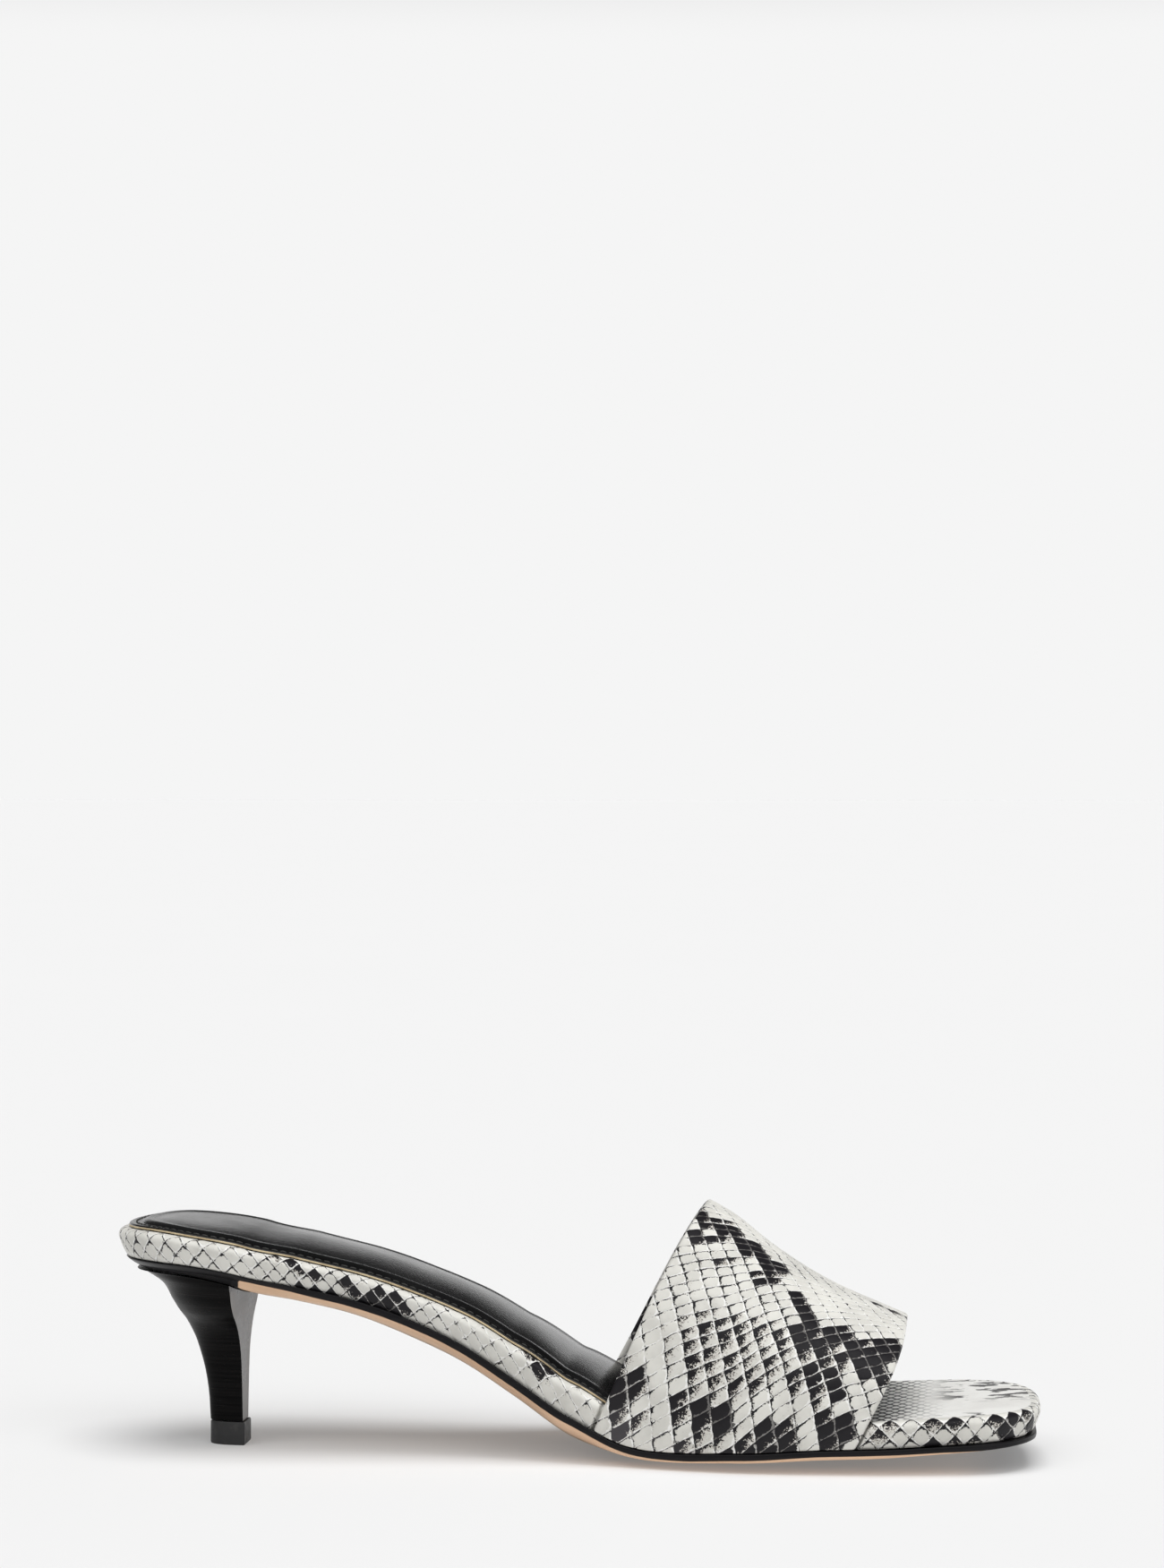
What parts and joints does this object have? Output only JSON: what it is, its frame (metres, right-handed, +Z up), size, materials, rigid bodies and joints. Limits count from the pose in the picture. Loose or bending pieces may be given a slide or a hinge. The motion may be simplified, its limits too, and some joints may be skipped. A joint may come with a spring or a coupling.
{
  "type": "kitten heel mule",
  "caption": "Left kitten heel mule: wide forefoot band over an open toe, black padded sock, snake embossed rand, slim stacked heel and thin leather sole.",
  "frame": {"origin": "on the floor, under the middle of the shoe's box", "axes": "+X toward the toe, +Y toward the outer side of the foot, +Z up"},
  "size_m": [0.2398, 0.0771, 0.0657],
  "materials": {
    "tan_sole_leather": "smooth tan leather with a black inked edge",
    "snake_leather_rand": "snake embossed off-white leather with black markings, soft gloss",
    "black_sock_leather": "smooth black leather, satin",
    "snake_leather_band": "snake embossed off-white leather with black markings, soft gloss, black lining",
    "black_heel_stack": "black stacked leather look, semi gloss",
    "black_rubber": "matte black rubber"
  },
  "bodies": {
    "root": {"outsole": "tan_sole_leather", "footbed": "snake_leather_rand", "sock_pad": "black_sock_leather", "upper_band": "snake_leather_band", "heel": "black_heel_stack", "top_lift": "black_rubber"}
  },
  "joints": []
}
